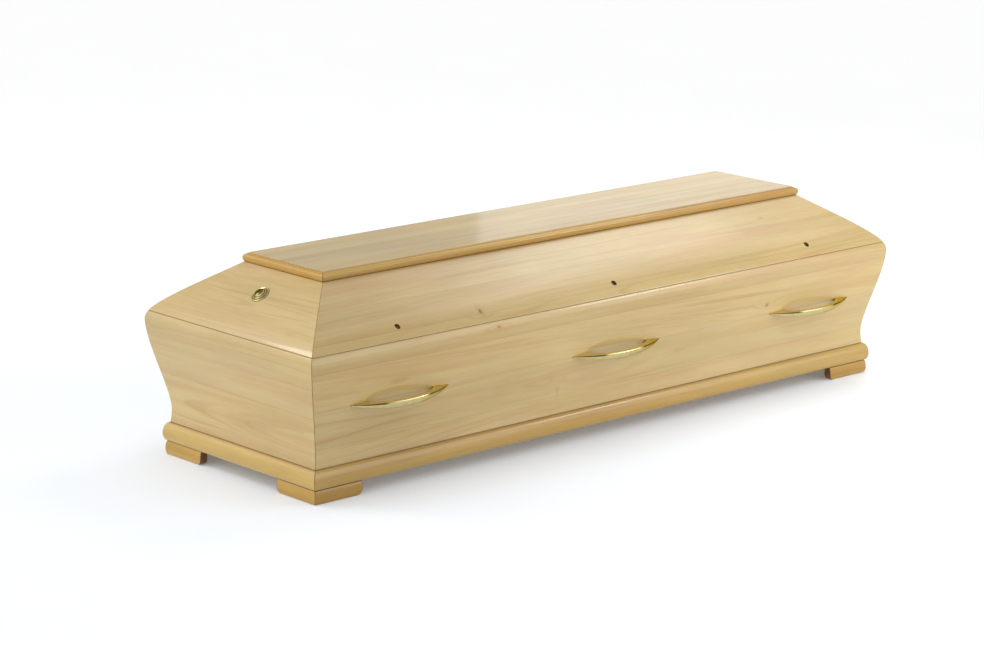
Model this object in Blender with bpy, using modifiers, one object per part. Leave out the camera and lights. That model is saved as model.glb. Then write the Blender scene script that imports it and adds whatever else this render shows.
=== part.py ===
"""Wooden coffin with swept sides, a hollow lift-off lid, corner feet and brass fittings.

Metres, +Z up, +X along the coffin towards its head end, -Y its front side. The origin is on the
floor under the middle. A profile is given as insets: how far a point lies inside the outline of
the joint line between box and lid, the same on all four sides, so every corner is a true mitre.
"""
import math

import bmesh
import bpy
from mathutils import Matrix, Vector

# Plan of the joint line between box and lid
LENGTH = 2.000
WIDTH = 0.648
FIT_GAP = 0.0003

# Heights, one on top of the other from the floor up
LEG_HEIGHT = 0.0355
BASE_HEIGHT = 0.0481
WALL_HEIGHT = 0.2848
LID_RISE = 0.1284
TOP_BOARD_THICK = 0.0232

# Swept walls of the box
WALL_THICK = 0.022
WALL_FOOT_INSET = 0.0353
WAIST_INSET = 0.0381
WAIST_RISE = 0.0355
BREAST_PROUD = 0.0065
BREAST_DROP = 0.0198
SWEEP_PULL_LOW = 0.049
SWEEP_PULL_HIGH = 0.061
JOINT_LEAN = 0.62
ARRIS = 0.0012
BOTTOM_THICK = 0.018

# Sloping sides of the lid
LID_THICK = 0.018
LID_HEAD_INSET = 0.1712
LID_LEAN = 1.50
SHOULDER_RISE = 0.080

# Base moulding, a half round
BASE_NOSE_INSET = 0.0210
BASE_NOSE_RISE = 0.0194
BASE_UNDER_INSET = 0.0303
BASE_LEDGE = 0.020

# Corner feet, each leg a short length of moulding
LEG_LENGTH = 0.147
LEG_THICK = 0.021
LEG_BULGE_INSET = 0.0255
LEG_BULGE_RISE = 0.0147
LEG_TOP_INSET = 0.0303
LEG_FLOOR_INSET = 0.0307
LEG_END_ROUND = 0.017

# Rim moulding round the top board
RIM_WIDTH = 0.0087
RIM_NOSE_INSET = 0.1670
RIM_NOSE_RISE = 0.0138
RIM_CROWN_INSET = 0.1772
RIM_QUIRK = 0.0025

# Bow handles, at a height above the foot of the wall that carries them
HANDLE_HEIGHT = 0.1459
HANDLE_FROM_END = 0.280
HANDLE_CHORD = 0.306
HANDLE_REACH = 0.040
HANDLE_LAND = 0.050
HANDLE_BAR = 0.008
HANDLE_TALL = 0.0172
HANDLE_ARRIS = 0.0015
HANDLE_TIP = 0.0010
HANDLE_TAPER = 2.2
GAP_FULLNESS = 1.6

# Lid screws in their sunk holes, at a height above the joint line
SCREW_HEIGHT = 0.0278
SCREW_FROM_END = 0.2825
HOLE_RADIUS = 0.0078
HOLE_DEPTH = 0.009
SCREW_RADIUS = 0.0063
SCREW_SUNK = 0.0028
SLOT_WIDTH = 0.0024
SLOT_DEPTH = 0.0022

# Rosettes on the lid ends, at a height above the joint line
ROSETTE_HEIGHT = 0.0813
ROSETTE_RADIUS = 0.0245
FLANGE_THICK = 0.0016
COLLAR_RADIUS = 0.0190
COLLAR_HEIGHT = 0.0042
BOSS_RADIUS = 0.0148
BOSS_HEIGHT = 0.0105

# How finely curves are cut into flats
SWEEP_FLATS = 14
ROUND_FLATS = 5
SHOULDER_FLATS = 8
HANDLE_STATIONS = 28
TURN_STEPS = 32

# Levels between the storeys
BASE_LEVEL = LEG_HEIGHT
WALL_LEVEL = BASE_LEVEL + BASE_HEIGHT
JOINT_LEVEL = WALL_LEVEL + WALL_HEIGHT
LID_HEAD_LEVEL = JOINT_LEVEL + LID_RISE
TOP_LEVEL = LID_HEAD_LEVEL + TOP_BOARD_THICK

# The four sides in turn, each a quarter turn further round
SIDES = ("front", "head", "back", "foot")
PLACES = (-1, 0, 1)
# A mitre's two faces stand half the gap back from the true corner plane
MITRE_BACK = FIT_GAP / math.sqrt(2.0)


def finish(name, colour, roughness, metallic):
    """A Principled finish of one colour, roughness and metallic value."""
    material = bpy.data.materials.new(name)
    material.use_nodes = True
    shader = material.node_tree.nodes["Principled BSDF"]
    shader.inputs["Base Color"].default_value = (*colour, 1.0)
    shader.inputs["Roughness"].default_value = roughness
    shader.inputs["Metallic"].default_value = metallic
    return material


def bezier(corners, flats):
    """Points along a Bezier curve with two, three or four control points."""
    degree = len(corners) - 1
    line = []
    for step in range(flats + 1):
        t = step / flats
        weights = [math.comb(degree, k) * t**k * (1 - t) ** (degree - k) for k in range(degree + 1)]
        line.append(tuple(sum(w * c[axis] for w, c in zip(weights, corners)) for axis in (0, 1)))
    return line


def nose(low, bulge, high, flats):
    """A rounded edge from low to high through bulge, as two quarter ellipses of (inset, height)."""
    quarter = [k / flats * math.pi / 2 for k in range(flats + 1)]
    lower = [(bulge[0] + (low[0] - bulge[0]) * (1 - math.sin(a)),
              low[1] + (bulge[1] - low[1]) * (1 - math.cos(a))) for a in quarter]
    upper = [(bulge[0] + (high[0] - bulge[0]) * (1 - math.cos(a)),
              bulge[1] + (high[1] - bulge[1]) * math.sin(a)) for a in quarter]
    return lower + upper[1:]


def wall_outline():
    """Outer line of a box wall, bottom to top: a hollow foot, a straight-ish sweep, a round breast."""
    waist = (WAIST_INSET, WALL_LEVEL + WAIST_RISE)
    breast = (-BREAST_PROUD, JOINT_LEVEL - BREAST_DROP)
    crown = (0.0, JOINT_LEVEL - FIT_GAP)
    toe = (WALL_FOOT_INSET, WALL_LEVEL)
    foot = bezier([toe, (waist[0], (toe[1] + waist[1]) / 2), waist], ROUND_FLATS)
    sweep = bezier([waist, (waist[0], waist[1] + SWEEP_PULL_LOW),
                    (breast[0], breast[1] - SWEEP_PULL_HIGH), breast], SWEEP_FLATS)
    turn_in = (breast[0], crown[1] - BREAST_PROUD / JOINT_LEAN)
    round_over = bezier([breast, turn_in, crown], ROUND_FLATS)
    return eased(foot + sweep[1:] + round_over[1:], at_top=True)


def lid_outline():
    """Outer line of a sloping lid side, bottom to top: a round shoulder, then a straight slope."""
    joint = (0.0, JOINT_LEVEL)
    head = (LID_HEAD_INSET, LID_HEAD_LEVEL - FIT_GAP)
    slope_start = (head[0] - LID_LEAN * (head[1] - joint[1] - SHOULDER_RISE), joint[1] + SHOULDER_RISE)
    reach = (LID_LEAN * SHOULDER_RISE - slope_start[0]) / (LID_LEAN - JOINT_LEAN)
    turn_in = (JOINT_LEAN * reach, joint[1] + reach)
    shoulder = bezier([joint, turn_in, slope_start], SHOULDER_FLATS)
    return eased(shoulder + [head], at_top=False)


def eased(line, at_top):
    """The line with its arris at the joint eased by a small flat."""
    end = line[-1] if at_top else line[0]
    start = end[1] - ARRIS if at_top else end[1] + ARRIS
    ease = [(inset_at(line, start), start), (end[0] + ARRIS, end[1])]
    rest = [point for point in line if abs(point[1] - end[1]) > ARRIS]
    return rest + ease if at_top else ease[::-1] + rest


def inset_at(line, height):
    """Inset of a line at a height, between its points."""
    for (inset_a, low), (inset_b, high) in zip(line, line[1:]):
        if low <= height <= high:
            return inset_a + (inset_b - inset_a) * (height - low) / (high - low)
    raise ValueError("that height is not on the line")


def thickened(line, thick):
    """Rungs (height, outer inset, inner inset) of a wall of true thickness behind an outer line."""
    rungs = []
    for k, (inset, height) in enumerate(line):
        before = line[max(k - 1, 0)]
        after = line[min(k + 1, len(line) - 1)]
        lean = (after[0] - before[0]) / (after[1] - before[1])
        rungs.append((height, inset, inset + thick * math.sqrt(1 + lean * lean)))
    return rungs


def straight_back(line, back_inset):
    """Rungs of a bar with a moulded outer face and a plain upright back."""
    return [(height, inset, back_inset) for inset, height in line]


def mitre(half_run, end):
    """The cut of a mitred end: it draws back by the inset, so neighbours meet on the diagonal."""
    return lambda inset, height: end * (half_run - inset - MITRE_BACK)


def rounded_end(half_run, end):
    """The square inner end of a leg, with its lower corner rounded."""
    def cut(inset, height):
        drop = max(LEG_END_ROUND - height, 0.0)
        rounding = LEG_END_ROUND - math.sqrt(max(LEG_END_ROUND**2 - drop**2, 0.0))
        return end * (half_run - LEG_BULGE_INSET - LEG_LENGTH + rounding)
    return cut


def add_object(name, mesh, material, collection):
    """Puts a mesh into the scene under a name."""
    mesh.materials.append(material)
    piece = bpy.data.objects.new(name, mesh)
    collection.objects.link(piece)
    return piece


def bar(name, rungs, turn, cuts, material):
    """A moulded bar on one side: its section, a ladder of rungs, is extruded along the side.

    The two ends are then drawn to their cuts, each a function of inset and height.
    """
    half_span = (WIDTH if turn % 2 == 0 else LENGTH) / 2
    form = bmesh.new()
    outer = [form.verts.new((0.0, inset - half_span, height)) for height, inset, _ in rungs]
    inner = [form.verts.new((0.0, inset - half_span, height)) for height, _, inset in rungs]
    for k in range(len(rungs) - 1):
        form.faces.new((outer[k], outer[k + 1], inner[k + 1], inner[k]))
    swept = bmesh.ops.extrude_face_region(form, geom=form.faces[:])
    far = {item for item in swept["geom"] if isinstance(item, bmesh.types.BMVert)}
    for corner in form.verts:
        cut = cuts[1] if corner in far else cuts[0]
        corner.co.x = cut(corner.co.y + half_span, corner.co.z)
    bmesh.ops.recalc_face_normals(form, faces=form.faces[:])
    mesh = bpy.data.meshes.new(name)
    form.to_mesh(mesh)
    form.free()
    mesh.set_sharp_from_angle(angle=math.radians(30))
    piece = add_object(name, mesh, material, parts)
    piece.rotation_euler.z = turn * math.pi / 2
    return piece


def half_run_of(turn):
    """Half the joint line's length along a side."""
    return (LENGTH if turn % 2 == 0 else WIDTH) / 2


def ring_of_bars(prefix, rungs, material):
    """Four mitred bars, one on each side."""
    for turn, side in enumerate(SIDES):
        run = half_run_of(turn)
        bar(f"{prefix}_{side}", rungs, turn, (mitre(run, -1), mitre(run, 1)), material)


def board(name, inset, low, high, material):
    """A flat board that keeps one inset inside the joint line's outline."""
    bpy.ops.mesh.primitive_cube_add(size=1.0)
    piece = bpy.context.object
    piece.name = name
    size = (LENGTH - 2 * inset, WIDTH - 2 * inset, high - low)
    piece.data.transform(Matrix.Diagonal((*size, 1.0)))
    piece.location.z = (low + high) / 2
    piece.data.materials.append(material)
    for home in piece.users_collection:
        home.objects.unlink(piece)
    parts.objects.link(piece)


def seat_on(line, height, reach, half_span, turn, along):
    """Frame of a flat seat on a moulded side: -Y points out of the side and Z up along it.

    The seat lies on the chord between the line's points reach above and below the height, moved
    out until the whole stretch is behind it, and then by the fitting gap.
    """
    low = Vector((inset_at(line, height - reach), height - reach))
    high = Vector((inset_at(line, height + reach), height + reach))
    up = (high - low).normalized()
    out = Vector((-up.y, up.x))
    between = [Vector(p) for p in line if low.y < p[1] < high.y]
    proud = max([0.0] + [(p - low).dot(out) for p in between]) + FIT_GAP
    middle = low.lerp(high, 0.5) + out * proud
    place = Matrix.Translation((along, middle.x - half_span, middle.y))
    lean = Matrix.Rotation(-math.atan2(up.x, up.y), 4, "X")
    return Matrix.Rotation(turn * math.pi / 2, 4, "Z") @ place @ lean


def handle_mesh():
    """A bow handle lofted between unlike sections along its chord, pointed at both tips.

    Its outer face follows an arc of the handle's reach. Its inner face lies on the seat at the
    two lands and bows out between them, leaving the finger gap.
    """
    half = HANDLE_CHORD / 2
    rise = HANDLE_REACH - HANDLE_TIP
    radius = (half**2 + rise**2) / (2 * rise)
    opening = half - HANDLE_LAND
    sections = []
    for k in range(HANDLE_STATIONS + 1):
        along = -half * math.cos(math.pi * k / HANDLE_STATIONS)
        share = abs(along) / half
        outer = HANDLE_TIP + math.sqrt(radius**2 - along**2) - (radius - rise)
        tall = HANDLE_TIP + (HANDLE_TALL / 2 - HANDLE_TIP) * (1 - share**HANDLE_TAPER)
        hollow = max(1 - (abs(along) / opening) ** GAP_FULLNESS, 0.0) ** (1 / GAP_FULLNESS)
        inner = (HANDLE_REACH - HANDLE_BAR) * hollow
        ease = min(HANDLE_ARRIS, tall / 2, (outer - inner) / 2)
        corners = ((inner, -tall), (outer - 2 * ease, -tall), (outer - ease / 2, -tall + ease),
                   (outer, 0.0), (outer - ease / 2, tall - ease), (outer - 2 * ease, tall), (inner, tall))
        sections.append([(along, -depth, up) for depth, up in corners])
    form = bmesh.new()
    rings = [[form.verts.new(co) for co in section] for section in sections]
    for ring, following in zip(rings, rings[1:]):
        for k in range(len(ring)):
            after = (k + 1) % len(ring)
            form.faces.new((ring[k], ring[after], following[after], following[k]))
    form.faces.new(rings[0])
    form.faces.new(rings[-1][::-1])
    bmesh.ops.recalc_face_normals(form, faces=form.faces[:])
    mesh = bpy.data.meshes.new("handle")
    form.to_mesh(mesh)
    form.free()
    mesh.shade_smooth()
    mesh.set_sharp_from_angle(angle=math.radians(40))
    return mesh


def cylinder(name, radius, low, high, collection):
    """A cylinder along the seat's outward axis, -Y, from low to high above the seat."""
    mesh = bpy.data.meshes.new(name)
    form = bmesh.new()
    bmesh.ops.create_cone(form, cap_ends=True, segments=TURN_STEPS, radius1=radius, radius2=radius,
                          depth=high - low)
    form.transform(Matrix.Rotation(math.pi / 2, 4, "X") @ Matrix.Translation((0, 0, (low + high) / 2)))
    form.to_mesh(mesh)
    form.free()
    piece = bpy.data.objects.new(name, mesh)
    collection.objects.link(piece)
    return piece


def cut_away(piece, cutter):
    """Takes the cutter's shape out of the piece."""
    cutter.hide_render = True
    cutter.display_type = "WIRE"
    cut = piece.modifiers.new(cutter.name, "BOOLEAN")
    cut.operation = "DIFFERENCE"
    cut.solver = "EXACT"
    cut.object = cutter


def lid_screw(name, seat, lid_side):
    """A slotted screw head on the floor of its sunk hole in the lid side."""
    hole = cylinder(f"{name}_hole", HOLE_RADIUS, -HOLE_DEPTH, HOLE_DEPTH, cutters)
    hole.matrix_world = seat
    cut_away(lid_side, hole)
    head = cylinder(name, SCREW_RADIUS, FIT_GAP - HOLE_DEPTH, -SCREW_SUNK, parts)
    head.data.materials.append(brass)
    head.matrix_world = seat
    bpy.ops.mesh.primitive_cube_add(size=1.0)
    slot = bpy.context.object
    slot.name = f"{name}_slot"
    slot.data.transform(Matrix.Diagonal((SLOT_WIDTH, 2 * SLOT_DEPTH, 4 * SCREW_RADIUS, 1.0)))
    slot.matrix_world = seat @ Matrix.Translation((0.0, SCREW_SUNK, 0.0))
    for home in slot.users_collection:
        home.objects.unlink(slot)
    cutters.objects.link(slot)
    cut_away(head, slot)


def rosette(name, seat):
    """A turned brass rosette: flange, collar and domed boss, spun from one profile."""
    dome = [(BOSS_RADIUS * math.sin(a), COLLAR_HEIGHT + (BOSS_HEIGHT - COLLAR_HEIGHT) * math.cos(a))
            for a in (k / ROUND_FLATS * math.pi / 2 for k in range(ROUND_FLATS + 1))]
    edge = FLANGE_THICK / 2
    rim = [(COLLAR_RADIUS - edge, COLLAR_HEIGHT), (COLLAR_RADIUS, COLLAR_HEIGHT - edge),
           (COLLAR_RADIUS, FLANGE_THICK), (ROSETTE_RADIUS - edge, FLANGE_THICK),
           (ROSETTE_RADIUS, edge), (ROSETTE_RADIUS, 0.0), (0.0, 0.0)]
    profile = dome + rim
    mesh = bpy.data.meshes.new(name)
    points = [(radius, 0.0, height) for radius, height in profile]
    mesh.from_pydata(points, [(k, k + 1) for k in range(len(points) - 1)], [])
    piece = add_object(name, mesh, brass, parts)
    spin = piece.modifiers.new("spin", "SCREW")
    spin.steps = TURN_STEPS
    spin.render_steps = TURN_STEPS
    spin.use_merge_vertices = True
    spin.merge_threshold = 0.00001
    piece.matrix_world = seat @ Matrix.Rotation(math.pi / 2, 4, "X")


for leftover in list(bpy.data.objects):
    bpy.data.objects.remove(leftover)

parts = bpy.data.collections.new("coffin")
cutters = bpy.data.collections.new("cutters")
for group in (parts, cutters):
    bpy.context.scene.collection.children.link(group)

pale_wood = finish("pale_wood", (0.66, 0.51, 0.30), 0.32, 0.0)
golden_wood = finish("golden_wood", (0.60, 0.40, 0.16), 0.32, 0.0)
brass = finish("brass", (0.80, 0.62, 0.22), 0.18, 1.0)

# Box: walls standing on a frame of base moulding, with the bottom board lying inside them
wall_line = wall_outline()
ring_of_bars("box_wall", thickened(wall_line, WALL_THICK), pale_wood)
base_line = nose((BASE_UNDER_INSET, BASE_LEVEL), (BASE_NOSE_INSET, BASE_LEVEL + BASE_NOSE_RISE),
                 (WALL_FOOT_INSET, WALL_LEVEL - FIT_GAP), ROUND_FLATS)
board_inset = max(inner for _, _, inner in thickened(wall_line, WALL_THICK)) + FIT_GAP
ring_of_bars("base_moulding", straight_back(base_line, board_inset + BASE_LEDGE), golden_wood)
board("bottom_board", board_inset, WALL_LEVEL, WALL_LEVEL + BOTTOM_THICK, pale_wood)

# Feet: two mitred legs at each corner, under the base moulding
leg_line = nose((LEG_FLOOR_INSET, 0.0), (LEG_BULGE_INSET, LEG_BULGE_RISE),
                (LEG_TOP_INSET, LEG_HEIGHT - FIT_GAP), ROUND_FLATS)
leg_rungs = straight_back(leg_line, LEG_BULGE_INSET + LEG_THICK)
for turn, side in enumerate(SIDES):
    run = half_run_of(turn)
    low_end = (mitre(run, -1), rounded_end(run, -1))
    high_end = (rounded_end(run, 1), mitre(run, 1))
    bar(f"leg_{side}_by_{SIDES[turn - 1]}", leg_rungs, turn, low_end, golden_wood)
    bar(f"leg_{side}_by_{SIDES[(turn + 1) % len(SIDES)]}", leg_rungs, turn, high_end, golden_wood)

# Lid: four sloping sides, the top board on them and the rim glued round its edge
lid_line = lid_outline()
ring_of_bars("lid_side", thickened(lid_line, LID_THICK), pale_wood)
rim_line = nose((LID_HEAD_INSET, LID_HEAD_LEVEL), (RIM_NOSE_INSET, LID_HEAD_LEVEL + RIM_NOSE_RISE),
                (RIM_CROWN_INSET, TOP_LEVEL - RIM_QUIRK), ROUND_FLATS)
rim_back = LID_HEAD_INSET + RIM_WIDTH
ring_of_bars("lid_rim", straight_back(rim_line, rim_back), golden_wood)
board("lid_top_board", rim_back + FIT_GAP, LID_HEAD_LEVEL, TOP_LEVEL, pale_wood)

# Fittings on the two long sides: bow handles on the box, sunk screws in the lid
bow = handle_mesh()
bow.materials.append(brass)
handle_level = WALL_LEVEL + HANDLE_HEIGHT
screw_level = JOINT_LEVEL + SCREW_HEIGHT
for turn in (0, 2):
    side = SIDES[turn]
    for number, place in enumerate(PLACES, 1):
        handle = bpy.data.objects.new(f"handle_{side}_{number}", bow)
        parts.objects.link(handle)
        handle.matrix_world = seat_on(wall_line, handle_level, HANDLE_TALL / 2, WIDTH / 2, turn,
                                      place * (LENGTH / 2 - HANDLE_FROM_END))
        screw_seat = seat_on(lid_line, screw_level, HOLE_RADIUS / 2, WIDTH / 2, turn,
                             place * (LENGTH / 2 - SCREW_FROM_END))
        lid_screw(f"lid_screw_{side}_{number}", screw_seat, bpy.data.objects[f"lid_side_{side}"])

# Rosettes in the middle of the two lid ends
for turn in (1, 3):
    seat = seat_on(lid_line, JOINT_LEVEL + ROSETTE_HEIGHT, ROSETTE_RADIUS / 2, LENGTH / 2, turn, 0.0)
    rosette(f"rosette_{SIDES[turn]}", seat)
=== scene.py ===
import math

import bpy
import numpy as np
from mathutils import Matrix, Vector


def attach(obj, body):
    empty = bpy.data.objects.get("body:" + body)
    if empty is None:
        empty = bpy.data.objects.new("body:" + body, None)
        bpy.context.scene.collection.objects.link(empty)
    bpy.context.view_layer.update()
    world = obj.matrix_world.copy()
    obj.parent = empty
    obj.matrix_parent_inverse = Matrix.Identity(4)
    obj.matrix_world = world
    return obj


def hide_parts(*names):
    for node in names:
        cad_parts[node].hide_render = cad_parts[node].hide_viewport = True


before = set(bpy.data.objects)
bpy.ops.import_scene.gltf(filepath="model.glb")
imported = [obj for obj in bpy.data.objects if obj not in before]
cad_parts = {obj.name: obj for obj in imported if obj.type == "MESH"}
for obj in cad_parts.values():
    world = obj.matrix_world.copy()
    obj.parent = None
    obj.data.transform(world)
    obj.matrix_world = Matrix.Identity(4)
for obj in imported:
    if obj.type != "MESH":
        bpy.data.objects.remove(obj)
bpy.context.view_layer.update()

# Camera: a long lens a little above the lid, looking across the foot end corner, as the coffin
# was photographed. Its place is given by azimuth, elevation, roll and distance from a target.
AZIMUTH, ELEVATION, ROLL = (math.radians(angle) for angle in (-41.938, 13.629, 0.291))
TARGET, DISTANCE = Vector((-0.1477, 0.0, 0.2476)), 8.0609
SENSOR_WIDTH, FOCAL_LENGTH = 36.0, 114.22
camera = bpy.data.objects.new("camera", bpy.data.cameras.new("camera"))
camera.data.sensor_width = SENSOR_WIDTH
camera.data.lens = FOCAL_LENGTH
back = Vector((math.sin(AZIMUTH) * math.cos(ELEVATION),
               -math.cos(AZIMUTH) * math.cos(ELEVATION), math.sin(ELEVATION)))
right = (-back).cross(Vector((0, 0, 1))).normalized()
above = right.cross(-back)
rolled_right = right * math.cos(ROLL) + above * math.sin(ROLL)
rolled_above = above * math.cos(ROLL) - right * math.sin(ROLL)
axes = Matrix((rolled_right, rolled_above, back)).transposed().to_4x4()
camera.matrix_world = Matrix.Translation(TARGET + back * DISTANCE) @ axes
bpy.context.scene.collection.objects.link(camera)
bpy.context.scene.camera = camera
bpy.context.scene.view_settings.view_transform = "Standard"

# Box walls: four swept walls of edge-glued pale boards, planed to one profile, mitred and glued
# at the corners. Their top edges are eased where the lid comes down, and all is satin lacquered.
# Length and width are those of the joint line, and an inset is measured inwards from it.
LENGTH, WIDTH = 2.000, 0.648
WALL_FOOT, JOINT, GAP = 0.0836, 0.3684, 0.0003
WALL_THICK = 0.022
FOOT_INSET = 0.0353
WAIST_INSET, WAIST_RISE, WAIST_PULL = 0.0381, 0.0355, 0.049
BREAST_PROUD, BREAST_DROP, BREAST_PULL = 0.0065, 0.0198, 0.061
JOINT_LEAN = 0.62
EASE, MITRE_EASE = 0.0024, 0.0013
PAST_EASE = (0.0022, 0.0060)
JOINT_SHADE = 0.0024
SIDES = ("front", "head", "back", "foot")


def curve(corners, count):
    """Bezier curve: each point is the sum of the corners, weighted by the Bernstein terms."""
    t = np.linspace(0.0, 1.0, count)[:, None]
    degree = len(corners) - 1
    return sum(math.comb(degree, k) * t**k * (1 - t) ** (degree - k) * np.array([corner])
               for k, corner in enumerate(corners))


def joined(*lines):
    """The lines end to end, each shared point once."""
    return np.vstack([lines[0]] + [line[1:] for line in lines[1:]])


def run_along(line):
    """Length along the line at each point: the running sum of the distances between points."""
    return np.concatenate([[0.0], np.cumsum(np.hypot(*np.diff(line, axis=0).T))])


def points_at(line, lengths):
    """The points of the line at the given lengths along it."""
    run = run_along(line)
    return np.stack([np.interp(lengths, run, line[:, axis]) for axis in (0, 1)], axis=1)


def eased(line, radius):
    """The line with its last corner rounded: what lies within the radius of the end gives way
    to a quadratic curve that turns onto the level edge. The points crowd towards it.
    """
    run, end = run_along(line), line[-1]
    close = run[-1] - radius * np.array([6.0, 3.5, 2.0, 1.4, 1.0])
    kept = points_at(line, np.concatenate([run[run < close[0] - radius], close]))
    return joined(kept, curve([kept[-1], end, end + (radius, 0.0)], 8))


def thickened(line, thick):
    """Inner line of a wall: a point goes inwards by the thickness over the cosine of the lean."""
    lean = np.gradient(line[:, 0], line[:, 1])
    return np.stack([line[:, 0] + thick * np.sqrt(1 + lean**2), line[:, 1]], axis=1)


def mitre(half_run, end):
    """The cut of a mitred end: it draws back by the inset, and by its share of the fitting gap."""
    return lambda inset, height: end * (half_run - inset - GAP / math.sqrt(2.0))


def grid_quads(rows, around):
    """Four-cornered faces of a grid whose rows are closed loops, by row and place in the loop."""
    k, m = np.meshgrid(np.arange(rows - 1), np.arange(around), indexing="ij")
    after = (m + 1) % around
    return np.stack([k * around + m, (k + 1) * around + m, (k + 1) * around + after,
                     k * around + after], axis=-1)


def add_piece(name, verts, faces, marks, material, smooth=35.0):
    """A mesh of points and faces on the root body, with its marks as point attributes. It takes
    the place of the node of its name.
    """
    used = np.unique(np.concatenate([np.ravel(f) for f in faces]))
    place = np.zeros(len(verts), dtype=int)
    place[used] = np.arange(len(used))
    mesh = bpy.data.meshes.new(name)
    mesh.from_pydata(verts[used].tolist(), [],
                     [face for block in faces for face in place[block].tolist()])
    for mark, values in marks.items():
        kind, field = ("FLOAT_VECTOR", "vector") if np.ndim(values) == 2 else ("FLOAT", "value")
        layer = mesh.attributes.new(mark, kind, "POINT")
        layer.data.foreach_set(field, np.ravel(values[used]).astype(np.float32))
    mesh.shade_smooth()
    mesh.set_sharp_from_angle(angle=math.radians(smooth))
    mesh.materials.append(material)
    piece = bpy.data.objects.new(name, mesh)
    bpy.context.scene.collection.objects.link(piece)
    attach(piece, "root")
    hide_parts(name)
    return piece


def turned(points, turn):
    """Points of the front side turned by quarter turns round the upright axis."""
    c, s = (1, 0, -1, 0)[turn], (0, 1, 0, -1)[turn]
    return points @ np.array([[c, s, 0], [-s, c, 0], [0, 0, 1]], dtype=float)


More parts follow.
